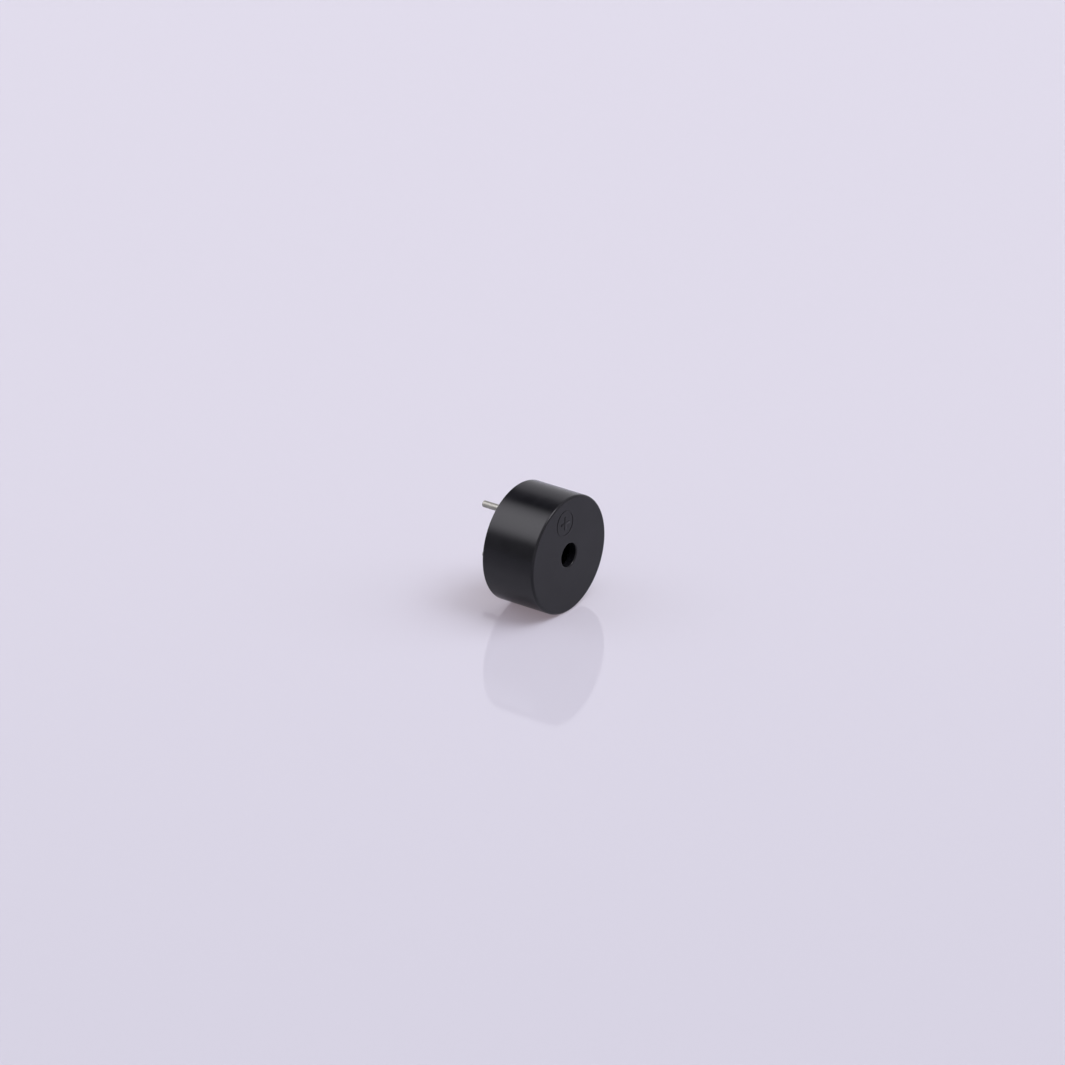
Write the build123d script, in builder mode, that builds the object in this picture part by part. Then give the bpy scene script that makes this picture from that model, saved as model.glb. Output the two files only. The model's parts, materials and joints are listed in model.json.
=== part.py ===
from build123d import *

import os
from math import cos, radians, sin

# Magnetic buzzer for a circuit board, in millimetres.
# The origin is the centre of the seating plane, which is the rim of the case. +Z runs through
# the sound hole, and both pins point down from the Y axis, the positive one towards -Y.

# Case: a moulded cup that stands mouth down
case_diameter = 9.0
case_height = 4.5
case_wall = 0.55
case_roof = 0.6
front_edge_radius = 0.2
rim_chamfer = 0.08
mouth_chamfer = 0.12
sound_hole_diameter = 1.8
sound_hole_chamfer = 0.05
shoulder_width = 0.45
chamber_chamfer = 0.15
rib_count = 4
rib_radius = 0.25
rib_lead_in = 0.15

# Board, pads and pins
board_recess = 0.4
board_thickness = 0.5
board_clearance = 0.1
pad_thickness = 0.035
pad_margin = 0.35
pin_diameter = 0.5
pin_pitch = 4.0
pin_length = 3.2
pin_tip_chamfer = 0.08
pin_head_diameter = 0.9
pin_head_thickness = 0.2
pin_hole_clearance = 0.05
pin_neck_play = 0.01

# Solder and epoxy
solder_setback = 0.1
solder_rim = 0.05
solder_hollow = 0.02
drop_cover = 0.08
seal_width = 0.4
seal_setback = 0.06
seal_depth = 0.3
seal_hollow = 0.03

# Magnetic unit
bore_clearance = 0.05
yoke_thickness = 0.4
head_clearance = 0.15
core_diameter = 1.7
core_height = 1.15
core_top_chamfer = 0.08
shank_diameter = 1.1
rivet_flare = 0.2
coil_height = 1.0
coil_clearance = 0.05
coil_chamfer = 0.1
magnet_width = 0.85
magnet_height = 0.95
magnet_chamfer = 0.06
ring_wall = 0.55
ring_clearance = 0.05
ring_lip_chamfer = 0.15
lead_gap = 0.3
lead_wire_diameter = 0.08
lead_hole_diameter = 0.3
lead_climb = 0.6
lead_tail = 0.1
lead_angle = 52.0

# Diaphragm and the iron disc on it
air_gap = 0.15
diaphragm_thickness = 0.08
diaphragm_play = 0.02
diaphragm_rim_clearance = 0.1
armature_diameter = 3.0
armature_thickness = 0.25
armature_chamfer = 0.06

# Edges count as lying at a level when they are this near to it
level_slack = 0.001

# Levels along Z, from the seating plane up
board_top = board_recess + board_thickness
pad_bottom = board_recess - pad_thickness
yoke_top = board_top + yoke_thickness
core_top = yoke_top + core_height
diaphragm_bottom = core_top + air_gap
diaphragm_top = diaphragm_bottom + diaphragm_thickness
shoulder_level = diaphragm_top + diaphragm_play
chamber_top = case_height - case_roof

# Radii, from the wall of the case inwards
case_radius = case_diameter / 2
bore_radius = case_radius - case_wall
chamber_radius = bore_radius - shoulder_width
unit_radius = bore_radius - bore_clearance
board_radius = bore_radius - board_clearance
ring_inner_radius = unit_radius - ring_wall
magnet_radius = ring_inner_radius - ring_clearance
magnet_inner_radius = magnet_radius - magnet_width
coil_radius = magnet_inner_radius - lead_gap
core_radius = core_diameter / 2
lead_radius = coil_radius + lead_wire_diameter / 2

# Pins and wire ends
pin_radius = pin_diameter / 2
pin_hole_radius = pin_radius + pin_hole_clearance
pin_head_radius = pin_head_diameter / 2
lead_hole_radius = lead_hole_diameter / 2
pin_pad_radius = pin_hole_radius + pad_margin
lead_pad_radius = lead_hole_radius + pad_margin / 2
lead_end = pad_bottom - lead_tail

# Each terminal has the direction of its pin, from the centre, in degrees
terminals = {"positive": -90.0, "negative": 90.0}


def at_angle(distance, angle):
    """Returns the point at this distance from the Z axis in this direction."""
    return (distance * cos(radians(angle)), distance * sin(radians(angle)))


def pin_point(angle):
    """Returns the place of the pin that stands in this direction."""
    return at_angle(pin_pitch / 2, angle)


def lead_point(angle):
    """Returns the place of the wire end that belongs to the pin in this direction."""
    return at_angle(lead_radius, angle + lead_angle)


def round_edges(solid, level):
    """Returns the round edges of a solid at one level, from the smallest to the largest."""
    rings = solid.edges().filter_by(GeomType.CIRCLE)
    return rings.filter_by_position(Axis.Z, level - level_slack, level + level_slack).sort_by(SortBy.RADIUS)


pin_points = [pin_point(angle) for angle in terminals.values()]
lead_points = [lead_point(angle) for angle in terminals.values()]

os.makedirs("parts", exist_ok=True)

# Case: turned outline of the cup, then the sound hole, the ribs and the moulded edges
with BuildPart() as case:
    with BuildSketch(Plane.XZ):
        with BuildLine():
            Polyline(
                (0, case_height),
                (case_radius, case_height),
                (case_radius, 0),
                (bore_radius, 0),
                (bore_radius, shoulder_level),
                (chamber_radius, shoulder_level),
                (chamber_radius, chamber_top),
                (0, chamber_top),
                close=True,
            )
        make_face()
    revolve(axis=Axis.Z)
    fillet(round_edges(case, case_height), front_edge_radius)
    chamfer(round_edges(case, chamber_top), chamber_chamfer)
    chamfer(round_edges(case, 0)[-1], rim_chamfer)
    chamfer(round_edges(case, 0)[0], mouth_chamfer)
    with Locations((0, 0, case_height)):
        Hole(sound_hole_diameter / 2, depth=case_roof)
    chamfer(round_edges(case, case_height)[0], sound_hole_chamfer)
    with BuildSketch(Plane.XY.offset(board_top - rib_lead_in)):
        with PolarLocations(bore_radius + rib_radius - bore_clearance, rib_count, start_angle=45):
            Circle(rib_radius)
    extrude(amount=shoulder_level - board_top + rib_lead_in)
case.part.label = "case"
export_step(case.part, "parts/case.step")

# Board: a round of laminate with holes for both pins and both wire ends
with BuildPart() as board:
    with BuildSketch(Plane.XY.offset(board_recess)):
        Circle(board_radius)
    extrude(amount=board_thickness)
    with Locations(Plane.XY.offset(board_top)):
        with Locations(*pin_points):
            Hole(pin_hole_radius, depth=board_thickness)
        with Locations(*lead_points):
            Hole(lead_hole_radius, depth=board_thickness)
board.part.label = "board"
export_step(board.part, "parts/board.step")

# Yoke: iron plate on the board, countersunk below for the core's rivet
with BuildPart() as yoke:
    with BuildSketch(Plane.XY.offset(board_top)):
        Circle(unit_radius)
        with Locations(*pin_points):
            Circle(pin_head_radius + head_clearance, mode=Mode.SUBTRACT)
        with Locations(*lead_points):
            Circle(lead_hole_radius, mode=Mode.SUBTRACT)
    extrude(amount=yoke_thickness)
    with Locations(Plane.XY.offset(board_top).rotated((180, 0, 0))):
        CounterSinkHole(shank_diameter / 2, shank_diameter / 2 + rivet_flare, yoke_thickness, 90)
yoke.part.label = "yoke"
export_step(yoke.part, "parts/yoke.step")

# Core: turned pole whose shank is spread into the yoke's countersink
with BuildPart() as core:
    with BuildSketch(Plane.XZ):
        with BuildLine():
            Polyline(
                (0, board_top),
                (shank_diameter / 2 + rivet_flare, board_top),
                (shank_diameter / 2, board_top + rivet_flare),
                (shank_diameter / 2, yoke_top),
                (core_radius, yoke_top),
                (core_radius, core_top - core_top_chamfer),
                (core_radius - core_top_chamfer, core_top),
                (0, core_top),
                close=True,
            )
        make_face()
    revolve(axis=Axis.Z)
core.part.label = "core"
export_step(core.part, "parts/core.step")

# Coil: the winding fills the room between the core and the magnet
with BuildPart() as coil:
    with BuildSketch(Plane.XY.offset(yoke_top)):
        Circle(coil_radius)
        Circle(core_radius + coil_clearance, mode=Mode.SUBTRACT)
    extrude(amount=coil_height)
    chamfer(round_edges(coil, yoke_top)[-1], coil_chamfer)
    chamfer(round_edges(coil, yoke_top + coil_height)[-1], coil_chamfer)
coil.part.label = "coil"
export_step(coil.part, "parts/coil.step")

# Magnet: sintered ring with its upper edges broken
with BuildPart() as magnet:
    with BuildSketch(Plane.XY.offset(yoke_top)):
        Circle(magnet_radius)
        Circle(magnet_inner_radius, mode=Mode.SUBTRACT)
    extrude(amount=magnet_height)
    chamfer(round_edges(magnet, yoke_top + magnet_height), magnet_chamfer)
magnet.part.label = "magnet"
export_step(magnet.part, "parts/magnet.step")

# Support ring: stands on the yoke and carries the diaphragm on its lip
with BuildPart() as support_ring:
    with BuildSketch(Plane.XY.offset(yoke_top)):
        Circle(unit_radius)
        Circle(ring_inner_radius, mode=Mode.SUBTRACT)
    extrude(amount=diaphragm_bottom - yoke_top)
    chamfer(round_edges(support_ring, diaphragm_bottom)[0], ring_lip_chamfer)
support_ring.part.label = "support_ring"
export_step(support_ring.part, "parts/support_ring.step")

# Diaphragm: thin spring disc between the ring and the shoulder of the case
with BuildPart() as diaphragm:
    with BuildSketch(Plane.XY.offset(diaphragm_bottom)):
        Circle(bore_radius - diaphragm_rim_clearance)
    extrude(amount=diaphragm_thickness)
diaphragm.part.label = "diaphragm"
export_step(diaphragm.part, "parts/diaphragm.step")

# Armature: iron disc on the middle of the diaphragm
with BuildPart() as armature:
    with BuildSketch(Plane.XY.offset(diaphragm_top)):
        Circle(armature_diameter / 2)
    extrude(amount=armature_thickness)
    chamfer(round_edges(armature, diaphragm_top + armature_thickness), armature_chamfer)
armature.part.label = "armature"
export_step(armature.part, "parts/armature.step")

# Seal: epoxy that fills the gap round the board and climbs the wall in a hollow curve
with BuildPart() as seal:
    with BuildSketch(Plane.XZ):
        with BuildLine():
            Polyline(
                (bore_radius - seal_width, board_recess),
                (board_radius, board_recess),
                (board_radius, board_recess + seal_depth),
                (bore_radius, board_recess + seal_depth),
                (bore_radius, mouth_chamfer + seal_setback),
            )
            SagittaArc(
                (bore_radius, mouth_chamfer + seal_setback),
                (bore_radius - seal_width, board_recess),
                -seal_hollow,
            )
        make_face()
    revolve(axis=Axis.Z)
seal.part.label = "seal"
export_step(seal.part, "parts/seal.step")


def make_pad(name, angle):
    """Makes the copper pad that joins a pin to its wire end on the board's underside."""
    with BuildPart() as pad:
        with BuildSketch(Plane.XY.offset(pad_bottom)):
            with Locations(pin_point(angle)):
                Circle(pin_pad_radius)
            with Locations(lead_point(angle)):
                Circle(lead_pad_radius)
            make_hull()
            with Locations(pin_point(angle)):
                Circle(pin_hole_radius, mode=Mode.SUBTRACT)
            with Locations(lead_point(angle)):
                Circle(lead_hole_radius, mode=Mode.SUBTRACT)
        extrude(amount=pad_thickness)
    pad.part.label = f"pad_{name}"
    export_step(pad.part, f"parts/pad_{name}.step")


def make_pin(name, angle):
    """Makes a round pin with a chamfered tip, a neck that widens in the board and a head on top."""
    neck_radius = pin_radius + pin_hole_clearance - pin_neck_play
    head_top = board_top + pin_head_thickness
    x, y = pin_point(angle)
    with BuildPart() as pin:
        with BuildSketch(Plane(origin=(x, y, 0), x_dir=(1, 0, 0), z_dir=(0, -1, 0))):
            with BuildLine():
                Polyline(
                    (0, -pin_length),
                    (pin_radius - pin_tip_chamfer, -pin_length),
                    (pin_radius, pin_tip_chamfer - pin_length),
                    (pin_radius, board_recess),
                    (neck_radius, board_top),
                    (pin_head_radius, board_top),
                    (pin_head_radius, head_top),
                    (0, head_top),
                    close=True,
                )
            make_face()
        revolve(axis=Axis((x, y, 0), (0, 0, 1)))
    pin.part.label = f"pin_{name}"
    export_step(pin.part, f"parts/pin_{name}.step")


def make_pin_solder(name, angle):
    """Makes the hollow-sided solder cone between a pad and its pin."""
    foot_radius = pin_pad_radius - solder_rim
    x, y = pin_point(angle)
    with BuildPart() as pin_solder:
        with BuildSketch(Plane(origin=(x, y, 0), x_dir=(1, 0, 0), z_dir=(0, -1, 0))):
            with BuildLine():
                Polyline(
                    (pin_radius, solder_setback),
                    (pin_radius, pad_bottom),
                    (foot_radius, pad_bottom),
                )
                SagittaArc((foot_radius, pad_bottom), (pin_radius, solder_setback), -solder_hollow)
            make_face()
        revolve(axis=Axis((x, y, 0), (0, 0, 1)))
    pin_solder.part.label = f"pin_solder_{name}"
    export_step(pin_solder.part, f"parts/pin_solder_{name}.step")


def make_lead(name, angle):
    """Makes the wire end that lies along the coil's side and runs down through yoke, board and pad."""
    with BuildPart() as lead:
        with BuildSketch(Plane.XY.offset(lead_end)):
            with Locations(lead_point(angle)):
                Circle(lead_wire_diameter / 2)
        extrude(amount=yoke_top + lead_climb - lead_end)
    lead.part.label = f"coil_lead_{name}"
    export_step(lead.part, f"parts/coil_lead_{name}.step")


def make_lead_solder(name, angle):
    """Makes the round drop of solder on a wire end, with the wire's own bore left free."""
    foot_radius = lead_pad_radius - solder_rim
    drop_bottom = lead_end - drop_cover
    x, y = lead_point(angle)
    with BuildPart() as lead_solder:
        with BuildSketch(Plane(origin=(x, y, 0), x_dir=(1, 0, 0), z_dir=(0, -1, 0))):
            with BuildLine():
                Polyline(
                    (0, lead_end),
                    (lead_wire_diameter / 2, lead_end),
                    (lead_wire_diameter / 2, pad_bottom),
                    (foot_radius, pad_bottom),
                )
                TangentArc((0, drop_bottom), (foot_radius, pad_bottom), tangent=(1, 0))
                Line((0, drop_bottom), (0, lead_end))
            make_face()
        revolve(axis=Axis((x, y, 0), (0, 0, 1)))
    lead_solder.part.label = f"lead_solder_{name}"
    export_step(lead_solder.part, f"parts/lead_solder_{name}.step")


for terminal, terminal_angle in terminals.items():
    make_pad(terminal, terminal_angle)
    make_pin(terminal, terminal_angle)
    make_pin_solder(terminal, terminal_angle)
    make_lead(terminal, terminal_angle)
    make_lead_solder(terminal, terminal_angle)
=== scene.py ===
import json
import logging
import math
from collections.abc import Callable
from dataclasses import dataclass
from enum import Enum

import bmesh
import bpy
from mathutils import Matrix, Vector


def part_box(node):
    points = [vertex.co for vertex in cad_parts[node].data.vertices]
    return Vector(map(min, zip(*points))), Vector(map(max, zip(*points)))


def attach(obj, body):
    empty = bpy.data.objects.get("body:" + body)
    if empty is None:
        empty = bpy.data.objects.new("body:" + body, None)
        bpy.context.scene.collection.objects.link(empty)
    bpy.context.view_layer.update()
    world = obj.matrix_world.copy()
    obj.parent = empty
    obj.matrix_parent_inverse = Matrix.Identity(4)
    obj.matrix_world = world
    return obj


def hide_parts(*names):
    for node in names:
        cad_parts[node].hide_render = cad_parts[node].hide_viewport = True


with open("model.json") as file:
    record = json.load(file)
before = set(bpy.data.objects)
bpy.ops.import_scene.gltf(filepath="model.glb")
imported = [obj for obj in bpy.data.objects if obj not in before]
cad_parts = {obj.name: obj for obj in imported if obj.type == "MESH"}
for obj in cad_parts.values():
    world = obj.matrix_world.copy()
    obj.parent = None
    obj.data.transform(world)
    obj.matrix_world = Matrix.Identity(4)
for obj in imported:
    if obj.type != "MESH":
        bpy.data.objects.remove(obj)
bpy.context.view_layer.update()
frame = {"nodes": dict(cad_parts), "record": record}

LOG = logging.getLogger("buzzer")
MM = 0.001
BODY = "root"
FULL_TURN = 2 * math.pi
SHARP_ANGLE = math.radians(35)  # edges that turn more stay sharp
ON_AXIS = 1e-9  # a profile's point with a smaller radius is a pole
GRAIN_SCALE, CLOUD_SCALE = 20000.0, 900.0
FINE_DETAIL, FINE_ROUGHNESS, CLOUD_DETAIL = 3.0, 0.6, 4.0
CLOUD_IN_COLOUR, CLOUD_IN_GLOSS = (0.35, 0.65), (0.3, 0.7)  # the mask's part that each uses

Colour = tuple[float, float, float]
Feed = bpy.types.NodeSocket | float | tuple[float, ...] | Vector
Sway = Callable[[int, float], tuple[float, float]]


class Slot(Enum):
    """The record's finishes that the pieces made here have."""

    CASE = "case_plastic"
    PIN = "tinned_pin"
    SOLDER = "solder"
    EPOXY = "epoxy"
    WIRE = "enamelled_wire"


class Terminal(Enum):
    """The two electrical ends, each with the side of the Y axis that its pin stands on."""

    POSITIVE = -1
    NEGATIVE = 1

    @property
    def word(self) -> str:
        """The end's name as the nodes spell it."""
        return self.name.lower()


def mount_size(mount: str, key: str) -> float:
    """Gives one size of one of the record's mounts, in metres."""
    found = next(m for m in frame["record"]["mounts"] if m["name"] == mount)
    return found["dims"][key] * MM


# Profiles, as points of (radius from the axis, height)


@dataclass(frozen=True)
class Wave:
    """A slow wave round an axis."""

    count: int
    phase: float
    share: float = 1.0

    def at(self, angle: float) -> float:
        """Gives the wave's height at an angle."""
        return self.share * math.sin(self.count * angle + self.phase)


def bell(share: float) -> float:
    """Rises from 0 at the share 0 to 1 in the middle and falls to 0 at the share 1."""
    return share * (1 - share) * 4


def arc_points(centre: Vector, radius: float, start: float, end: float,
               steps: int) -> list[Vector]:
    """Gives points along an arc in a profile.

    Args:
        centre: The arc's centre.
        radius: The arc's radius.
        start: The first point's angle in radians.
        end: The last point's angle in radians.
        steps: How many equal steps the arc has.

    Returns:
        The points from start to end.
    """
    angles = [start + (end - start) * step / steps for step in range(steps + 1)]
    return [centre + radius * Vector((math.cos(a), math.sin(a))) for a in angles]


def rounded_profile(corners: list[tuple[float, float, float]], steps: int,
                    support: float) -> list[Vector]:
    """Rounds the corners of an outline and adds a point on the flat beside each round.

    Args:
        corners: Points of the closed outline as (radius, height, corner radius).
        steps: How many steps each rounded corner has.
        support: How far beside a round its flat neighbour point stands.

    Returns:
        The outline's points in order.
    """
    points: list[Vector] = []
    for index, (radius, height, corner) in enumerate(corners):
        here = Vector((radius, height))
        if corner <= 0:
            points.append(here)
            continue
        before = Vector(corners[index - 1][:2])
        after = Vector(corners[(index + 1) % len(corners)][:2])
        inward, outward = (before - here).normalized(), (after - here).normalized()
        half = inward.angle(outward) / 2
        reach = corner / math.tan(half)
        centre = here + (inward + outward).normalized() * corner / math.sin(half)
        first, last = here + inward * reach - centre, here + outward * reach - centre
        start = math.atan2(first.y, first.x)
        turn = (math.atan2(last.y, last.x) - start + math.pi) % FULL_TURN - math.pi
        points.append(here + inward * (reach + support))
        points.extend(arc_points(centre, corner, start, start + turn, steps))
        points.append(here + outward * (reach + support))
    return points


def hollow_flank(foot: Vector, top: Vector, corner: Vector, hollow: float,
                 steps: int) -> list[Vector]:
    """Gives the flank that a liquid leaves in a corner.

    Args:
        foot: Where the flank starts.
        top: Where it ends.
        corner: The corner that it hollows towards.
        hollow: How far it hollows, as a share; 0 is a straight flank.
        steps: How many steps it has.

    Returns:
        The points from foot to top.
    """
    shares = [step / steps for step in range(steps + 1)]
    return [foot.lerp(top, share).lerp(corner, hollow / 2 * bell(share)) for share in shares]


# Mesh tools


def add_object(name: str, data: bpy.types.ID) -> bpy.types.Object:
    """Puts a mesh, a lamp or a camera into the scene.

    Args:
        name: The object's name.
        data: What it shows.

    Returns:
        The new object at the origin.
    """
    made = bpy.data.objects.new(name, data)
    bpy.context.scene.collection.objects.link(made)
    return made


def shade(mesh: bpy.types.Mesh) -> None:
    """Shades a mesh smooth but for its sharp edges."""
    mesh.shade_smooth()
    mesh.set_sharp_from_angle(angle=SHARP_ANGLE)


def new_piece(name: str, mesh_data: bmesh.types.BMesh) -> bpy.types.Object:
    """Turns a bmesh into a smooth-shaded piece in the scene.

    Args:
        name: The piece's name.
        mesh_data: The geometry, which is freed.

    Returns:
        The new object at the origin.
    """
    bmesh.ops.recalc_face_normals(mesh_data, faces=mesh_data.faces[:])
    mesh = bpy.data.meshes.new(name)
    mesh_data.to_mesh(mesh)
    mesh_data.free()
    shade(mesh)
    return add_object(name, mesh)


def lathe(profile: list[Vector], segments: int, centre: Vector = Vector((0, 0, 0)),
          sway: Sway | None = None) -> bmesh.types.BMesh:
    """Turns a closed profile round an upright axis into a closed solid.

    Args:
        profile: Points as (radius, height); a point on the axis becomes a pole.
        segments: How many steps the full turn has.
        centre: Where the axis stands.
        sway: A function of (point index, angle) that gives small shifts of radius and height.

    Returns:
        The solid as a bmesh.
    """
    solid = bmesh.new()
    rings: list[list[bmesh.types.BMVert]] = []
    for index, point in enumerate(profile):
        if point.x < ON_AXIS:
            rings.append([solid.verts.new(centre + Vector((0, 0, point.y)))])
            continue
        ring = []
        for step in range(segments):
            angle = FULL_TURN * step / segments
            radial, lift = sway(index, angle) if sway else (0.0, 0.0)
            reach = point.x + radial
            spot = Vector((reach * math.cos(angle), reach * math.sin(angle), point.y + lift))
            ring.append(solid.verts.new(centre + spot))
        rings.append(ring)
    for near, far in zip(rings, rings[1:] + rings[:1]):
        if len(near) == 1 and len(far) == 1:
            continue
        for step in range(segments):
            after = (step + 1) % segments
            if len(near) == 1:
                solid.faces.new((near[0], far[after], far[step]))
            elif len(far) == 1:
                solid.faces.new((near[step], near[after], far[0]))
            else:
                solid.faces.new((near[step], near[after], far[after], far[step]))
    return solid


def join_parts(parts: list[bmesh.types.BMesh]) -> bmesh.types.BMesh:
    """Gathers several closed solids into one bmesh.

    Args:
        parts: The solids, which are freed.

    Returns:
        One bmesh that holds them all.
    """
    gathered = bmesh.new()
    for part in parts:
        carrier = bpy.data.meshes.new("carrier")
        bmesh.ops.recalc_face_normals(part, faces=part.faces[:])
        part.to_mesh(carrier)
        part.free()
        gathered.from_mesh(carrier)
        bpy.data.meshes.remove(carrier)
    return gathered


def grow(name: str, seed: bpy.types.Mesh, tree: bpy.types.NodeTree,
         values: dict[str, float | bpy.types.Material]) -> bpy.types.Object:
    """Runs a geometry node tree and keeps its result as a plain mesh.

    Args:
        name: The new piece's name.
        seed: The mesh that the tree starts from.
        tree: The geometry node tree.
        values: The tree's inputs by name.

    Returns:
        The new object, without modifiers.
    """
    carrier = add_object(f"{name}_carrier", seed)
    modifier = carrier.modifiers.new("tree", "NODES")
    modifier.node_group = tree
    sockets = {item.name: item.identifier for item in tree.interface.items_tree
               if item.in_out == "INPUT"}
    for key, value in values.items():
        modifier[sockets[key]] = value
    depsgraph = bpy.context.evaluated_depsgraph_get()
    made = bpy.data.meshes.new_from_object(carrier.evaluated_get(depsgraph), depsgraph=depsgraph)
    made.name = name
    bpy.data.objects.remove(carrier)
    return add_object(name, made)


def dress(piece: bpy.types.Object, material: bpy.types.Material) -> None:
    """Gives a piece or a carried-over node one material on all faces."""
    piece.data.materials.clear()
    piece.data.materials.append(material)


def settle(piece: bpy.types.Object, slot: Slot, *nodes: str) -> None:
    """Makes a piece ride on the part and says what it is.

    Args:
        piece: The piece, with its material.
        slot: The record's finish that it has.
        *nodes: The CAD nodes that it stands for.
    """
    if nodes:
        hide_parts(*nodes)
    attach(piece, BODY)
    LOG.info("piece %s: %d faces, finish %s", piece.name, len(piece.data.polygons), slot.value)


# Node tools


def rgba(colour: Colour) -> tuple[float, float, float, float]:
    """Adds the alpha that a colour socket takes."""
    return (*colour, 1.0)


class NodeSheet:
    """A node tree with short ways to add and join nodes."""

    def __init__(self, tree: bpy.types.NodeTree) -> None:
        """Takes the tree to fill."""
        self.tree = tree

    def feed(self, node: bpy.types.Node, inputs: dict[str | int, Feed]) -> None:
        """Fills a node's inputs.

        Args:
            node: The node.
            inputs: A socket to link or a constant for each input, by its name or its number.
        """
        for key, value in inputs.items():
            if isinstance(value, bpy.types.NodeSocket):
                self.tree.links.new(value, node.inputs[key])
            else:
                node.inputs[key].default_value = value

    def add(self, kind: str, inputs: dict[str | int, Feed] | None = None,
            **settings: str | bpy.types.NodeTree) -> bpy.types.Node:
        """Adds a node.

        Args:
            kind: The node's type.
            inputs: What its inputs get, as in feed.
            **settings: The node's own properties, which are set first.

        Returns:
            The new node.
        """
        node = self.tree.nodes.new(kind)
        for key, value in settings.items():
            setattr(node, key, value)
        self.feed(node, inputs or {})
        return node

    def remap(self, value: bpy.types.NodeSocket, spread: tuple[float, float],
              result: tuple[float, float]) -> bpy.types.NodeSocket:
        """Maps a value softly from one range to another and clamps it.

        Args:
            value: The value.
            spread: The range that it is taken from.
            result: What the two ends of that range become.

        Returns:
            The mapped value.
        """
        node = self.add("ShaderNodeMapRange", {
            "Value": value,
            "From Min": spread[0],
            "From Max": spread[1],
            "To Min": result[0],
            "To Max": result[1],
        }, interpolation_type="SMOOTHSTEP")
        return node.outputs["Result"]

    def mix(self, factor: Feed, first: Feed, second: Feed,
            blend: str = "MIX") -> bpy.types.NodeSocket:
        """Mixes two colours, each a socket or a fixed colour.

        Args:
            factor: How much the second colour counts.
            first: The first colour.
            second: The second colour.
            blend: How the second colour acts on the first.

        Returns:
            The mixed colour.
        """
        node = self.add("ShaderNodeMix", {"Factor": factor, "A": first, "B": second},
                        data_type="RGBA", blend_type=blend)
        return node.outputs["Result"]

    def combine(self, operation: str, first: bpy.types.NodeSocket,
                second: bpy.types.NodeSocket) -> bpy.types.NodeSocket:
        """Joins two values, such as with ADD or MULTIPLY."""
        node = self.add("ShaderNodeMath", {0: first, 1: second}, operation=operation)
        return node.outputs["Value"]

    def along(self, place: bpy.types.NodeSocket, way: Vector) -> bpy.types.NodeSocket:
        """Measures how far a place or a direction reaches one way."""
        node = self.add("ShaderNodeVectorMath", {0: place, 1: way}, operation="DOT_PRODUCT")
        return node.outputs["Value"]


class GeometrySheet(NodeSheet):
    """A geometry node group whose result is real faces with one finish."""

    def __init__(self, name: str, inputs: dict[str, str]) -> None:
        """Starts the group.

        Args:
            name: The group's name.
            inputs: The kind of each of its own inputs, such as Float, by name.
        """
        super().__init__(bpy.data.node_groups.new(name, "GeometryNodeTree"))
        face = self.tree.interface
        for key, kind in {"Geometry": "Geometry", **inputs, "Finish": "Material"}.items():
            face.new_socket(name=key, in_out="INPUT", socket_type=f"NodeSocket{kind}")
        face.new_socket(name="Geometry", in_out="OUTPUT", socket_type="NodeSocketGeometry")
        self.given = self.add("NodeGroupInput").outputs

    def finish(self, geometry: bpy.types.NodeSocket) -> bpy.types.NodeTree:
        """Ends the tree with Realize Instances and Set Material.

        Args:
            geometry: What the tree has made.

        Returns:
            The whole group.
        """
        whole = self.add("GeometryNodeRealizeInstances", {"Geometry": geometry})
        paint = self.add("GeometryNodeSetMaterial", {
            "Geometry": whole.outputs["Geometry"],
            "Material": self.given["Finish"],
        })
        self.add("NodeGroupOutput", {"Geometry": paint.outputs["Geometry"]})
        return self.tree


# Finishes


def grain_group() -> bpy.types.NodeTree:
    """Builds the shared surface grain once: a fine height and a soft cloudy mask.

    Returns:
        A shader node group with inputs Vector, Grain Scale and Cloud Scale and outputs Height
        and Cloud.
    """
    known = bpy.data.node_groups.get("surface_grain")
    if known:
        return known
    group = bpy.data.node_groups.new("surface_grain", "ShaderNodeTree")
    face = group.interface
    face.new_socket(name="Vector", in_out="INPUT", socket_type="NodeSocketVector")
    for name, value in (("Grain Scale", GRAIN_SCALE), ("Cloud Scale", CLOUD_SCALE)):
        scale = face.new_socket(name=name, in_out="INPUT", socket_type="NodeSocketFloat")
        scale.default_value = value
    for name in ("Height", "Cloud"):
        face.new_socket(name=name, in_out="OUTPUT", socket_type="NodeSocketFloat")
    sheet = NodeSheet(group)
    given = sheet.add("NodeGroupInput").outputs
    fine = sheet.add("ShaderNodeTexNoise", {
        "Vector": given["Vector"],
        "Scale": given["Grain Scale"],
        "Detail": FINE_DETAIL,
        "Roughness": FINE_ROUGHNESS,
    })
    cloud = sheet.add("ShaderNodeTexNoise", {
        "Vector": given["Vector"],
        "Scale": given["Cloud Scale"],
        "Detail": CLOUD_DETAIL,
    })
    sheet.add("NodeGroupOutput", {"Height": fine.outputs["Fac"], "Cloud": cloud.outputs["Fac"]})
    return group


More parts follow.
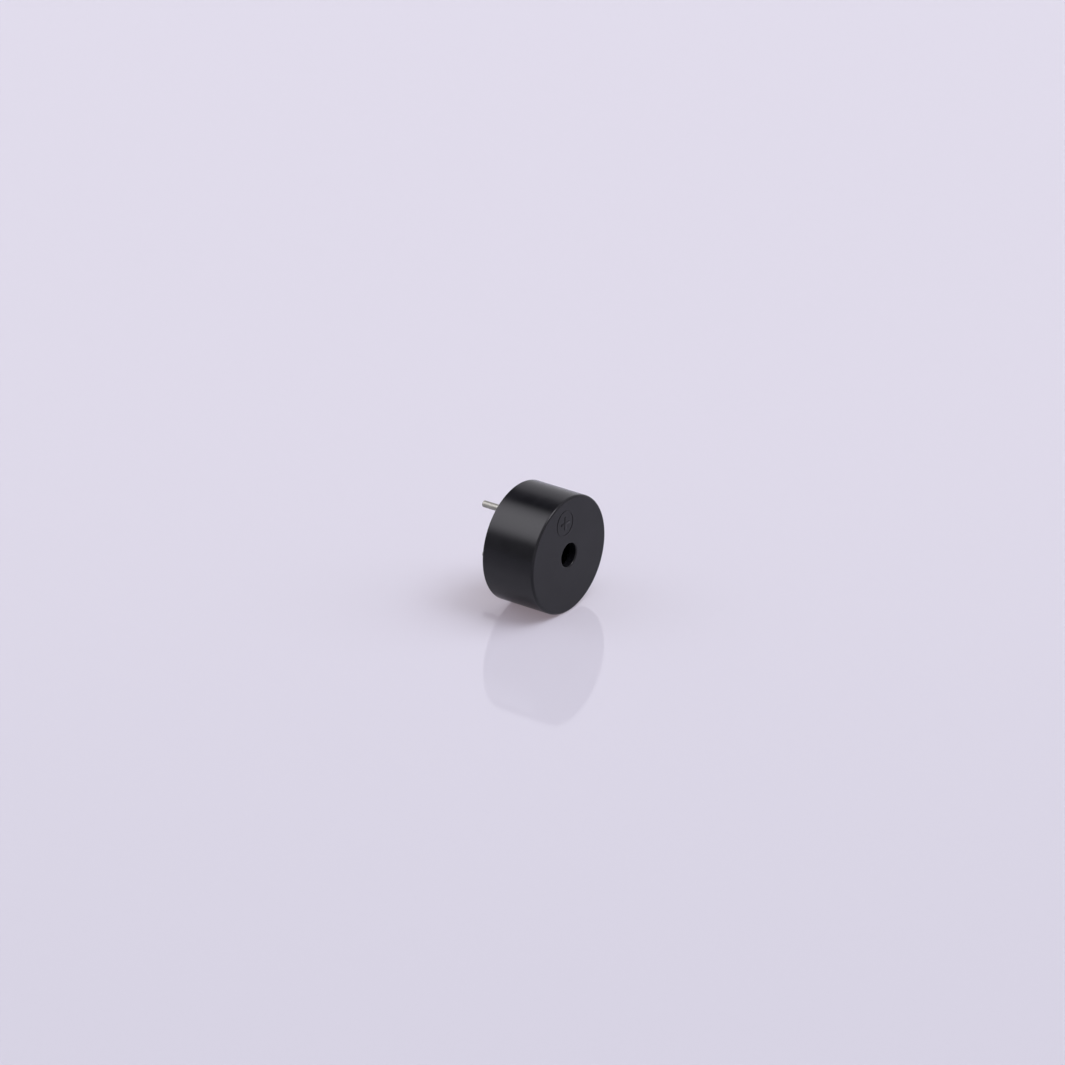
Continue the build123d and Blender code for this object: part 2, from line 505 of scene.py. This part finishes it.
@dataclass(frozen=True)
class Finish:
    """A solid finish whose colour and gloss wander a little over the surface."""

    name: str
    light: Colour
    dark: Colour
    smooth: float
    rough: float
    metallic: float = 0.0
    specular: float = 0.5
    coat: float = 0.0
    coat_roughness: float = 0.1
    grain_scale: float = GRAIN_SCALE
    cloud_scale: float = CLOUD_SCALE
    bump_depth: float = 0.001 * MM
    bump_strength: float = 0.3

    def material(self) -> bpy.types.Material:
        """Builds the finish once.

        Returns:
            The material, the same one at every call.
        """
        known = bpy.data.materials.get(self.name)
        if known:
            return known
        material = bpy.data.materials.new(self.name)
        material.use_nodes = True
        sheet = NodeSheet(material.node_tree)
        grain = sheet.add("ShaderNodeGroup", {
            "Vector": sheet.add("ShaderNodeTexCoord").outputs["Object"],
            "Grain Scale": self.grain_scale,
            "Cloud Scale": self.cloud_scale,
        }, node_tree=grain_group())
        cloud = grain.outputs["Cloud"]
        lightness = sheet.remap(cloud, CLOUD_IN_COLOUR, (0.0, 1.0))
        bump = sheet.add("ShaderNodeBump", {
            "Strength": self.bump_strength,
            "Distance": self.bump_depth,
            "Height": grain.outputs["Height"],
        })
        sheet.feed(material.node_tree.nodes["Principled BSDF"], {
            "Base Color": sheet.mix(lightness, rgba(self.dark), rgba(self.light)),
            "Roughness": sheet.remap(cloud, CLOUD_IN_GLOSS, (self.smooth, self.rough)),
            "Metallic": self.metallic,
            "Specular IOR Level": self.specular,
            "Coat Weight": self.coat,
            "Coat Roughness": self.coat_roughness,
            "Normal": bump.outputs["Normal"],
        })
        return material


MOULDED_BLACK = Finish(
    "moulded_black_plastic", light=(0.0068, 0.0066, 0.0084), dark=(0.0045, 0.0045, 0.0058),
    smooth=0.17, rough=0.23, specular=0.3, grain_scale=26000.0, cloud_scale=700.0,
    bump_strength=0.35)
TIN_PLATE = Finish(
    "tin_plate", light=(0.38, 0.374, 0.337), dark=(0.31, 0.306, 0.276),
    smooth=0.45, rough=0.58, metallic=1.0, grain_scale=14000.0, cloud_scale=1800.0)
SOLDER_TIN = Finish(
    "solder_tin", light=(0.62, 0.63, 0.64), dark=(0.46, 0.47, 0.48),
    smooth=0.16, rough=0.34, metallic=1.0, grain_scale=9000.0, cloud_scale=2500.0,
    bump_depth=0.002 * MM)
COPPER_FOIL = Finish(
    "copper_foil", light=(0.66, 0.36, 0.22), dark=(0.5, 0.25, 0.14),
    smooth=0.24, rough=0.42, metallic=1.0, cloud_scale=1500.0)
LAMINATE = Finish(
    "paper_laminate", light=(0.34, 0.225, 0.095), dark=(0.28, 0.18, 0.072),
    smooth=0.42, rough=0.6, grain_scale=9000.0, cloud_scale=7000.0, bump_depth=0.002 * MM)
EPOXY = Finish(
    "casting_epoxy", light=(0.018, 0.017, 0.016), dark=(0.01, 0.01, 0.01),
    smooth=0.1, rough=0.2, coat=0.6, grain_scale=3000.0, cloud_scale=500.0,
    bump_depth=0.002 * MM)
SOFT_IRON = Finish(
    "zinc_plated_iron", light=(0.42, 0.42, 0.43), dark=(0.3, 0.3, 0.31),
    smooth=0.28, rough=0.46, metallic=1.0)
SPRING_STEEL = Finish(
    "rolled_spring_steel", light=(0.42, 0.42, 0.42), dark=(0.32, 0.32, 0.32),
    smooth=0.2, rough=0.32, metallic=1.0)
FERRITE = Finish(
    "sintered_ferrite", light=(0.075, 0.073, 0.075), dark=(0.045, 0.045, 0.047),
    smooth=0.5, rough=0.7)
TURNED_BRASS = Finish(
    "turned_brass", light=(0.72, 0.52, 0.22), dark=(0.6, 0.4, 0.15),
    smooth=0.22, rough=0.38, metallic=1.0)
ENAMELLED_COPPER = Finish(
    "enamelled_copper", light=(0.52, 0.2, 0.075), dark=(0.4, 0.13, 0.045),
    smooth=0.2, rough=0.3, metallic=0.9, coat=0.5, cloud_scale=2500.0)


# Pieces


@dataclass
class MouldedCase:
    """The black cup with its sound hole and stepped bore."""

    mark_relief: float = 0.03 * MM
    front_edge_radius: float = 0.17 * MM
    rim_edge_radius: float = 0.08 * MM
    mouth_edge: float = 0.12 * MM
    hole_edge_radius: float = 0.11 * MM
    chamber_edge_radius: float = 0.15 * MM
    roof: float = 0.6 * MM
    shoulder_width: float = 0.45 * MM
    diaphragm_play: float = 0.02 * MM
    support: float = 0.015 * MM
    segments: int = 256
    round_steps: int = 8

    def __post_init__(self) -> None:
        """Reads the outer sizes and the bore from the frame."""
        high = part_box("case")[1]
        self.radius, self.height = high.x, high.z - self.mark_relief
        self.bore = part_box("seal")[1].x
        self.shoulder_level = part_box("diaphragm")[1].z + self.diaphragm_play
        self.hole = mount_size("sound_port", "r_mm")

    def build(self) -> bpy.types.Object:
        """Turns the cup's outline.

        Returns:
            The case as one closed shell.
        """
        ceiling = self.height - self.roof
        chamber = self.bore - self.shoulder_width
        outline = [
            (self.hole, self.height, self.hole_edge_radius),
            (self.radius, self.height, self.front_edge_radius),
            (self.radius, 0.0, self.rim_edge_radius),
            (self.bore + self.mouth_edge, 0.0, 0.0),
            (self.bore, self.mouth_edge, 0.0),
            (self.bore, self.shoulder_level, 0.0),
            (chamber, self.shoulder_level, 0.0),
            (chamber, ceiling, self.chamber_edge_radius),
            (self.hole, ceiling, 0.0),
        ]
        profile = rounded_profile(outline, self.round_steps, self.support)
        shell = new_piece("moulded_case", lathe(profile, self.segments))
        dress(shell, MOULDED_BLACK.material())
        settle(shell, Slot.CASE, "case")
        return shell


@dataclass
class LocatingRibs:
    """The upright half-round ribs in the bore that centre the magnetic unit."""

    count: int = 4
    radius: float = 0.25 * MM
    lead_in: float = 0.15 * MM
    first: float = math.radians(45)
    facets: int = 32

    def tree(self) -> bpy.types.NodeTree:
        """Builds the node tree that stands one rib at each point of a circle.

        Returns:
            A geometry node group with inputs for the circle, the rib and the material.
        """
        sheet = GeometrySheet("ribs_in_a_circle", {
            "Count": "Int",
            "Circle Radius": "Float",
            "Rib Radius": "Float",
            "Rib Height": "Float",
            "Rib Facets": "Int",
            "Level": "Float",
            "Turn": "Float",
        })
        given = sheet.given
        ring = sheet.add("GeometryNodeMeshCircle", {
            "Vertices": given["Count"],
            "Radius": given["Circle Radius"],
        })
        lift = sheet.add("ShaderNodeCombineXYZ", {"Z": given["Level"]})
        turn = sheet.add("ShaderNodeCombineXYZ", {"Z": given["Turn"]})
        place = sheet.add("GeometryNodeTransform", {
            "Geometry": ring.outputs["Mesh"],
            "Translation": lift.outputs["Vector"],
            "Rotation": turn.outputs["Vector"],
        })
        rib = sheet.add("GeometryNodeMeshCylinder", {
            "Vertices": given["Rib Facets"],
            "Radius": given["Rib Radius"],
            "Depth": given["Rib Height"],
        })
        stand = sheet.add("GeometryNodeInstanceOnPoints", {
            "Points": place.outputs["Geometry"],
            "Instance": rib.outputs["Mesh"],
        })
        return sheet.finish(stand.outputs["Instances"])

    def build(self, case: MouldedCase) -> bpy.types.Object:
        """Stands the ribs against the bore, from the board to the shoulder.

        Args:
            case: The cup that carries them.

        Returns:
            The ribs as one piece.
        """
        board_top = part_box("board")[1]
        low = board_top.z - self.lead_in
        ribs = grow("locating_ribs", bpy.data.meshes.new("rib_seed"), self.tree(), {
            "Count": self.count,
            "Circle Radius": board_top.x + self.radius,
            "Rib Radius": self.radius,
            "Rib Height": case.shoulder_level - low,
            "Rib Facets": self.facets,
            "Level": (case.shoulder_level + low) / 2,
            "Turn": self.first,
            "Finish": MOULDED_BLACK.material(),
        })
        shade(ribs.data)
        settle(ribs, Slot.CASE)
        return ribs


@dataclass
class PolarityMark:
    """A plus sign in a plain ring, just proud of the front face beside the positive pin."""

    ring_radius: float = 0.95 * MM
    ring_width: float = 0.1 * MM
    arm_length: float = 0.5 * MM
    arm_width: float = 0.16 * MM
    sunk: float = 0.01 * MM
    edge: float = 0.01 * MM
    support: float = 0.002 * MM
    offset: float = 2.72 * MM
    swing: float = math.radians(10)
    segments: int = 96
    ring_steps: int = 3
    plus_steps: int = 2

    def ring(self, centre: Vector, relief: float) -> bmesh.types.BMesh:
        """Builds the ring.

        Args:
            centre: The mark's centre on the front face.
            relief: How high the mark stands.

        Returns:
            The ring as a closed solid.
        """
        inner = self.ring_radius - self.ring_width / 2
        outer = self.ring_radius + self.ring_width / 2
        corners = [
            (inner, -self.sunk, 0.0),
            (outer, -self.sunk, 0.0),
            (outer, relief, self.edge),
            (inner, relief, self.edge),
        ]
        profile = rounded_profile(corners, self.ring_steps, self.support)
        return lathe(profile, self.segments, centre)

    def plus(self, centre: Vector, relief: float) -> bmesh.types.BMesh:
        """Builds the plus sign from one outline and bevels its top edges.

        Args:
            centre: The mark's centre on the front face.
            relief: How high the mark stands.

        Returns:
            The sign as a closed solid.
        """
        sign = bmesh.new()
        half, arm = self.arm_width / 2, self.arm_length
        quarter = [(half, arm), (-half, arm), (-half, half)]
        turns = [Matrix.Rotation(math.pi / 2 * turn, 2) for turn in range(4)]
        outline = [turn @ Vector(point) for turn in turns for point in quarter]
        base = [sign.verts.new(centre + Vector((x, y, -self.sunk))) for x, y in outline]
        raised = bmesh.ops.extrude_face_region(sign, geom=[sign.faces.new(base)])
        tops = [v for v in raised["geom"] if isinstance(v, bmesh.types.BMVert)]
        bmesh.ops.translate(sign, verts=tops, vec=(0, 0, self.sunk + relief))
        edges = [e for e in sign.edges if all(v in tops for v in e.verts)]
        bmesh.ops.bevel(sign, geom=edges, offset=self.edge, segments=self.plus_steps,
                        affect="EDGES", profile=0.5)
        return sign

    def build(self, case: MouldedCase) -> bpy.types.Object:
        """Sets the mark on the front face.

        Args:
            case: The cup that carries it.

        Returns:
            The mark as one piece.
        """
        side = Terminal.POSITIVE.value * self.offset
        centre = Vector((-side * math.sin(self.swing), side * math.cos(self.swing), case.height))
        solids = [self.ring(centre, case.mark_relief), self.plus(centre, case.mark_relief)]
        mark = new_piece("polarity_mark", join_parts(solids))
        dress(mark, MOULDED_BLACK.material())
        settle(mark, Slot.CASE)
        return mark


@dataclass
class TinnedPin:
    """A round tinned pin with a cropped tip and a flat head on the board."""

    terminal: Terminal
    tip_radius: float = 0.07 * MM
    head_edge: float = 0.03 * MM
    support: float = 0.01 * MM
    segments: int = 96
    round_steps: int = 6

    def build(self) -> bpy.types.Object:
        """Turns the pin where its node stands.

        Returns:
            The pin as one closed solid.
        """
        node = f"pin_{self.terminal.word}"
        low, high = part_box(node)
        middle = (low + high) / 2
        shank_radius = mount_size("pins", "stud_r_mm")
        head_radius = (high.x - low.x) / 2
        board_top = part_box("board")[1].z
        corners = [
            (0.0, low.z, 0.0),
            (shank_radius, low.z, self.tip_radius),
            (shank_radius, board_top, 0.0),
            (head_radius, board_top, 0.0),
            (head_radius, high.z, self.head_edge),
            (0.0, high.z, 0.0),
        ]
        profile = rounded_profile(corners, self.round_steps, self.support)
        pin = new_piece(f"tinned_pin_{self.terminal.word}",
                        lathe(profile, self.segments, Vector((middle.x, middle.y, 0))))
        dress(pin, TIN_PLATE.material())
        settle(pin, Slot.PIN, node)
        return pin


@dataclass
class SolderJoint:
    """The hollow-sided solder cone round a pin and the drop on its wire end."""

    terminal: Terminal
    hollow: float = 0.4
    sway_share: float = 0.05
    waves: tuple[Wave, ...] = (Wave(2, 0.7), Wave(3, 1.9, 0.6))
    steps: int = 12
    segments: int = 96

    def turned(self, stem: str, node: str, profile: list[Vector],
               sway: Sway) -> bpy.types.Object:
        """Turns one of the two blobs of solder where its node stands.

        Args:
            stem: The piece's name without the terminal.
            node: The CAD node that it stands for.
            profile: Its profile.
            sway: What makes it not quite round.

        Returns:
            The blob as one closed solid.
        """
        low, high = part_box(node)
        middle = (low + high) / 2
        blob = new_piece(f"{stem}_{self.terminal.word}",
                         lathe(profile, self.segments, Vector((middle.x, middle.y, 0)), sway))
        dress(blob, SOLDER_TIN.material())
        settle(blob, Slot.SOLDER, node)
        return blob

    def cone(self) -> bpy.types.Object:
        """Builds the cone with a hollow flank that is not quite round.

        Returns:
            The cone as one closed solid.
        """
        node = f"pin_solder_{self.terminal.word}"
        low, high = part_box(node)
        foot, pin_radius = (high.x - low.x) / 2, mount_size("pins", "stud_r_mm")
        corner = Vector((pin_radius, high.z))
        flank = hollow_flank(Vector((foot, high.z)), Vector((pin_radius, low.z)), corner,
                             self.hollow, self.steps)

        def sway(index: int, angle: float) -> tuple[float, float]:
            """Shifts the flank's points, most in its middle."""
            lean = bell(min(index, self.steps) / self.steps) * (foot - pin_radius)
            return (self.sway_share * lean * sum(wave.at(angle) for wave in self.waves), 0.0)

        return self.turned("solder_cone", node, flank + [corner], sway)

    def drop(self) -> bpy.types.Object:
        """Builds the drop as a flattened and slightly oval dome.

        Returns:
            The drop as one closed solid.
        """
        node = f"lead_solder_{self.terminal.word}"
        low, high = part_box(node)
        foot, tall = (high.x - low.x) / 2, high.z - low.z
        oval = Wave(2, self.terminal.value)
        turns = [math.pi / 2 * step / self.steps for step in range(self.steps)]
        dome = [Vector((foot * math.cos(a), high.z - tall * math.sin(a))) for a in turns]

        def sway(index: int, angle: float) -> tuple[float, float]:
            """Makes the drop slightly oval, inside its foot's circle."""
            return (-self.sway_share * foot / 2 * (1 + oval.at(angle)), 0.0)

        profile = [Vector((0, high.z)), *dome, Vector((0, low.z))]
        return self.turned("solder_drop", node, profile, sway)


@dataclass
class EpoxySeal:
    """The epoxy bead that climbs the wall round the board in a hollow curve."""

    reach_in: float = 0.4 * MM
    hollow: float = 0.45
    sway_reach: float = 0.02 * MM
    sway_lift: float = 0.006 * MM
    waves: tuple[Wave, ...] = (Wave(3, 0.4), Wave(7, 2.1, 0.5))
    steps: int = 12
    segments: int = 192

    def build(self, case: MouldedCase) -> bpy.types.Object:
        """Turns the bead and lets its lower surface wander a little.

        Args:
            case: The cup whose wall it climbs.

        Returns:
            The bead as one closed ring.
        """
        low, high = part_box("seal")
        board_low, board_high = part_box("board")
        foot, wall = Vector((high.x - self.reach_in, board_low.z)), Vector((case.bore, low.z))
        corner = Vector((case.bore, board_low.z))
        flank = hollow_flank(foot, wall, corner, self.hollow, self.steps)
        back = [
            Vector((case.bore, high.z)),
            Vector((board_high.x, high.z)),
            Vector((board_high.x, board_low.z)),
        ]

        def sway(index: int, angle: float) -> tuple[float, float]:
            """Moves the inner line and the hollow by a slow wave round the ring.

            Args:
                index: The profile's point, of which those behind the flank stay.
                angle: The angle round the ring.

            Returns:
                The shifts of radius and height.
            """
            share = min(index, self.steps) / self.steps
            slow = sum(wave.at(angle) for wave in self.waves)
            return (self.sway_reach * (1 - share) * slow, -self.sway_lift * bell(share) * slow)

        solid = lathe(flank + back, self.segments, sway=sway)
        bead = new_piece("epoxy_bead", solid)
        dress(bead, EPOXY.material())
        settle(bead, Slot.EPOXY, "seal")
        return bead


@dataclass
class CoilWinding:
    """The winding, whose outer turns are laid by a geometry node tree."""

    wire: float = 0.08 * MM
    clearance: float = 0.05 * MM
    ring_points: int = 72
    wire_points: int = 7

    def tree(self) -> bpy.types.NodeTree:
        """Builds the node tree that lays one ring of wire at each point of a profile.

        Returns:
            A geometry node group with inputs for the wire and the material.
        """
        sheet = GeometrySheet("wound_turns", {
            "Wire Radius": "Float",
            "Ring Points": "Int",
            "Wire Points": "Int",
        })
        given = sheet.given
        position = sheet.add("GeometryNodeInputPosition").outputs["Position"]
        spot = sheet.add("ShaderNodeSeparateXYZ", {"Vector": position}).outputs
        scale = sheet.add("ShaderNodeCombineXYZ", {"X": spot["X"], "Y": spot["X"], "Z": 1.0})
        lift = sheet.add("ShaderNodeCombineXYZ", {"Z": spot["Z"]})
        keep = sheet.add("GeometryNodeCaptureAttribute", domain="POINT")
        keep.capture_items.new("VECTOR", "Turn Scale")
        sheet.feed(keep, {
            "Geometry": given["Geometry"],
            "Turn Scale": scale.outputs["Vector"],
        })
        onto_axis = sheet.add("GeometryNodeSetPosition", {
            "Geometry": keep.outputs["Geometry"],
            "Position": lift.outputs["Vector"],
        })
        circle = sheet.add("GeometryNodeCurvePrimitiveCircle", {
            "Radius": 1.0,
            "Resolution": given["Ring Points"],
        })
        lay = sheet.add("GeometryNodeInstanceOnPoints", {
            "Points": onto_axis.outputs["Geometry"],
            "Instance": circle.outputs["Curve"],
            "Scale": keep.outputs["Turn Scale"],
        })
        real = sheet.add("GeometryNodeRealizeInstances", {"Geometry": lay.outputs["Instances"]})
        section = sheet.add("GeometryNodeCurvePrimitiveCircle", {
            "Radius": given["Wire Radius"],
            "Resolution": given["Wire Points"],
        })
        solid = sheet.add("GeometryNodeCurveToMesh", {
            "Curve": real.outputs["Geometry"],
            "Profile Curve": section.outputs["Curve"],
        })
        smooth = sheet.add("GeometryNodeSetShadeSmooth", {"Geometry": solid.outputs["Mesh"]})
        return sheet.finish(smooth.outputs["Geometry"])

    def turn_spots(self) -> list[Vector]:
        """Finds the turns that show on the winding's outside.

        Returns:
            The middle of each turn's wire as (radius, 0, height).
        """
        low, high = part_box("coil")
        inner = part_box("core")[1].x + self.clearance
        across, tall = high.x - inner, high.z - low.z
        columns, rows = int(across / self.wire), int(tall / self.wire)
        pitch_r, pitch_z = across / columns, tall / rows
        spots = []
        for column in range(columns):
            for row in range(rows):
                corner_cut = column == columns - 1 and row in (0, rows - 1)
                outside = column in (0, columns - 1) or row in (0, rows - 1)
                if outside and not corner_cut:
                    radius = inner + pitch_r * (column + 0.5)
                    spots.append(Vector((radius, 0, low.z + pitch_z * (row + 0.5))))
        return spots

    def build(self) -> bpy.types.Object:
        """Lays the turns and turns the result into a plain mesh.

        Returns:
            The winding as one piece.
        """
        spots = bpy.data.meshes.new("turn_spots")
        spots.from_pydata(self.turn_spots(), [], [])
        winding = grow("coil_winding", spots, self.tree(), {
            "Wire Radius": self.wire / 2,
            "Ring Points": self.ring_points,
            "Wire Points": self.wire_points,
            "Finish": ENAMELLED_COPPER.material(),
        })
        settle(winding, Slot.WIRE, "coil")
        return winding


@dataclass
class CarriedNodes:
    """The nodes whose CAD shape is right and that only take a finish."""

    single: tuple[tuple[str, Finish], ...] = (
        ("board", LAMINATE),
        ("yoke", SOFT_IRON),
        ("core", SOFT_IRON),
        ("armature", SOFT_IRON),
        ("magnet", FERRITE),
        ("support_ring", TURNED_BRASS),
        ("diaphragm", SPRING_STEEL),
    )
    paired: tuple[tuple[str, Finish], ...] = (
        ("pad", COPPER_FOIL),
        ("coil_lead", ENAMELLED_COPPER),
    )

    def build(self) -> None:
        """Gives each node its finish."""
        pairs = [(f"{stem}_{end.word}", finish) for end in Terminal for stem, finish in self.paired]
        for node, finish in [*self.single, *pairs]:
            dress(frame["nodes"][node], finish.material())
            LOG.info("node %s: finish %s", node, finish.name)


# Studio, whose directions are (to the right, away, up) as the photograph shows them


@dataclass(frozen=True)
class Softbox:
    """A round lamp far out, with its half angle in degrees, that glossy surfaces don't mirror."""

    name: str
    towards: tuple[float, float, float]
    half_angle: float
    irradiance: float


@dataclass(frozen=True)
class Patch:
    """A round patch in the surroundings, with its two radii in degrees and its two levels."""

    towards: tuple[float, float, float]
    outer: float
    inner: float
    outside: float
    inside: float


LAMPS = (
    Softbox("key_softbox", (0.33, -0.05, 0.94), half_angle=28.0, irradiance=1.0),
    Softbox("side_softbox", (0.75, 0.0, 0.66), half_angle=24.0, irradiance=0.8),
)
DARK_GAP = Patch((-0.31, 0.47, 0.825), outer=31.0, inner=7.0, outside=0.73, inside=0.05)
DARK_SIDE = Patch((-0.92, -0.35, 0.15), outer=26.0, inner=14.0, outside=1.0, inside=0.48)
LEFT_BOX = Patch((-0.655, 0.02, 0.755), outer=34.0, inner=8.0, outside=0.0, inside=3.0)
RIGHT_BOX = Patch((0.42, -0.25, 0.87), outer=17.0, inner=9.0, outside=0.0, inside=6.5)


@dataclass
class Studio:
    """The pale floor, the soft lamps, the surroundings and the camera."""

    elevation: float = math.radians(25.2)
    turn: float = math.radians(53.8)
    lens: float = 200.0
    sensor: float = 36.0
    near_clip: float = 10 * MM
    far_clip: float = 10.0
    picture_px: float = 1065.0
    px_per_radius: float = 62.2
    centre_px: tuple[float, float] = (544.3, 547.3)
    floor_radius: float = 700 * MM
    rim_steps: int = 128
    # painted shade: over this ramp the floor's colour darkens from floor_far to floor_near towards
    # the viewer, as falling-off light would shade it
    painted_shade_ramp: tuple[float, float] = (-90 * MM, 40 * MM)
    floor_near: Colour = (0.473, 0.486, 0.577)
    floor_far: Colour = (0.518, 0.525, 0.617)
    floor_roughness: float = 0.06
    # painted glow: the floor emits this pinkish light, which lightens its contact shadow under the
    # case; it is weaker for rays other than the camera's and when the floor is seen flat
    painted_glow: Colour = (0.2, 0.164, 0.184)
    painted_glow_levels: tuple[float, float] = (0.6, 1.0)
    painted_glow_fade: tuple[float, float] = (0.68, 0.95)
    backdrop: Colour = (0.73, 0.708, 0.823)
    fill: Colour = (0.3, 0.3, 0.31)
    mirror_tint: Colour = (1.0, 0.98, 1.05)

    def __post_init__(self) -> None:
        """Works out the photograph's own axes in the part's frame."""
        self.right = Vector((-math.cos(self.turn), 0, math.sin(self.turn)))
        self.away = Vector((-math.sin(self.turn), 0, -math.cos(self.turn)))
        self.up = Vector((0, -1, 0))
        self.back = self.up * math.sin(self.elevation) - self.away * math.cos(self.elevation)
        self.low, self.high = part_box("case")

    def direction(self, across: float, away: float, up: float) -> Vector:
        """Turns a direction given in the photograph's axes into the part's frame."""
        return (self.right * across + self.away * away + self.up * up).normalized()

    def camera(self) -> None:
        """Places the camera so that the case lands where the photograph shows it."""
        px = self.high.x / self.px_per_radius
        middle = self.picture_px / 2
        camera_up = self.back.cross(self.right)
        target = Vector((0, 0, (self.low.z + self.high.z) / 2))
        target -= self.right * (self.centre_px[0] - middle) * px
        target += camera_up * (self.centre_px[1] - middle) * px
        distance = self.picture_px * px * self.lens / self.sensor
        data = bpy.data.cameras.new("camera")
        data.lens, data.sensor_width = self.lens, self.sensor
        data.clip_start, data.clip_end = self.near_clip, self.far_clip
        eye = add_object("camera", data)
        turned = Matrix((self.right, camera_up, self.back)).transposed().to_4x4()
        eye.matrix_world = Matrix.Translation(target + self.back * distance) @ turned
        bpy.context.scene.camera = eye

    def floor(self) -> None:
        """Lays the floor against the case's lowest side, seen only from above."""
        centre = Vector((0, self.high.x, (self.low.z + self.high.z) / 2))
        disc = bmesh.new()
        rim = []
        for step in range(self.rim_steps):
            angle = FULL_TURN * step / self.rim_steps
            reach = self.floor_radius * Vector((math.cos(angle), 0, math.sin(angle)))
            rim.append(disc.verts.new(centre + reach))
        top = disc.faces.new(rim)
        top.normal_update()
        if top.normal.y > 0:
            top.normal_flip()
        mesh = bpy.data.meshes.new("floor")
        disc.to_mesh(mesh)
        disc.free()
        table = add_object("floor", mesh)
        dress(table, self.floor_material())

    def floor_material(self) -> bpy.types.Material:
        """Builds the glossy pale floor, clear from behind, with painted shade that darkens it
        towards the viewer and a painted glow that lightens its contact shadow, weaker when seen
        flat.

        Returns:
            The material.
        """
        material = bpy.data.materials.new("pale_floor")
        material.use_nodes = True
        nodes = material.node_tree.nodes
        sheet = NodeSheet(material.node_tree)
        place = sheet.add("ShaderNodeTexCoord").outputs["Object"]
        # painted shade: the floor's colour is darker towards the viewer
        painted_shade = sheet.remap(sheet.along(place, self.away), self.painted_shade_ramp, (0.0, 1.0))
        seen = sheet.add("ShaderNodeLightPath").outputs["Is Camera Ray"]
        facing = sheet.add("ShaderNodeLayerWeight").outputs["Facing"]
        # painted glow: emission that lightens the floor and its contact shadow, weaker in
        # reflections and when seen flat
        painted_glow = sheet.combine("MULTIPLY", sheet.remap(seen, (0.0, 1.0), self.painted_glow_levels),
                             sheet.remap(facing, self.painted_glow_fade, (1.0, 0.0)))
        sheet.feed(nodes["Principled BSDF"], {
            "Base Color": sheet.mix(painted_shade, rgba(self.floor_near), rgba(self.floor_far)),
            "Roughness": self.floor_roughness,
            "Emission Color": rgba(self.painted_glow),
            "Emission Strength": painted_glow,
        })
        sides = sheet.add("ShaderNodeMixShader", {
            "Fac": sheet.add("ShaderNodeNewGeometry").outputs["Backfacing"],
            1: nodes["Principled BSDF"].outputs["BSDF"],
            2: sheet.add("ShaderNodeBsdfTransparent").outputs["BSDF"],
        })
        sheet.feed(nodes["Material Output"], {"Surface": sides.outputs["Shader"]})
        return material

    def hang(self, box: Softbox) -> None:
        """Hangs a softbox, whose mirror image is left to the surroundings.

        Args:
            box: The softbox.
        """
        data = bpy.data.lights.new(box.name, "SUN")
        data.angle = 2 * math.radians(box.half_angle)
        data.energy = box.irradiance
        lamp = add_object(box.name, data)
        lamp.visible_glossy = False
        lamp.rotation_mode = "QUATERNION"
        lamp.rotation_quaternion = self.direction(*box.towards).to_track_quat("Z", "Y")

    def patch(self, sheet: NodeSheet, way: bpy.types.NodeSocket,
              patch: Patch) -> bpy.types.NodeSocket:
        """Makes a round patch in the surroundings.

        Args:
            sheet: The world's node tree.
            way: The direction that a ray leaves in.
            patch: Where the patch is and how bright.

        Returns:
            The level for each direction.
        """
        ends = (math.cos(math.radians(patch.outer)), math.cos(math.radians(patch.inner)))
        nearness = sheet.along(way, self.direction(*patch.towards))
        return sheet.remap(nearness, ends, (patch.outside, patch.inside))

    def world(self) -> None:
        """Makes the surroundings: even for matt surfaces, with patches for glossy ones."""
        world = bpy.data.worlds.new("studio")
        bpy.context.scene.world = world
        world.use_nodes = True
        sheet = NodeSheet(world.node_tree)
        way = sheet.add("ShaderNodeTexCoord").outputs["Generated"]
        level = self.patch(sheet, way, DARK_GAP)
        for operation, patch in (("MULTIPLY", DARK_SIDE), ("ADD", LEFT_BOX), ("ADD", RIGHT_BOX)):
            level = sheet.combine(operation, level, self.patch(sheet, way, patch))
        mirrored = sheet.mix(1.0, rgba(self.mirror_tint), level, "MULTIPLY")
        ray = sheet.add("ShaderNodeLightPath").outputs
        by_ray = sheet.mix(ray["Is Diffuse Ray"], mirrored, rgba(self.fill))
        seen = sheet.mix(ray["Is Camera Ray"], by_ray, rgba(self.backdrop))
        sheet.feed(world.node_tree.nodes["Background"], {"Color": seen})

    def build(self) -> None:
        """Sets up the whole studio."""
        self.camera()
        self.floor()
        self.world()
        for box in LAMPS:
            self.hang(box)


def main() -> None:
    """Builds the studio and every piece in order."""
    logging.basicConfig(level=logging.INFO)
    bpy.context.scene.view_settings.view_transform = "Standard"
    Studio().build()
    case = MouldedCase()
    case.build()
    LocatingRibs().build(case)
    PolarityMark().build(case)
    for end in Terminal:
        TinnedPin(end).build()
        joint = SolderJoint(end)
        joint.cone()
        joint.drop()
    EpoxySeal().build(case)
    CoilWinding().build()
    CarriedNodes().build()


if __name__ == "__main__":
    main()
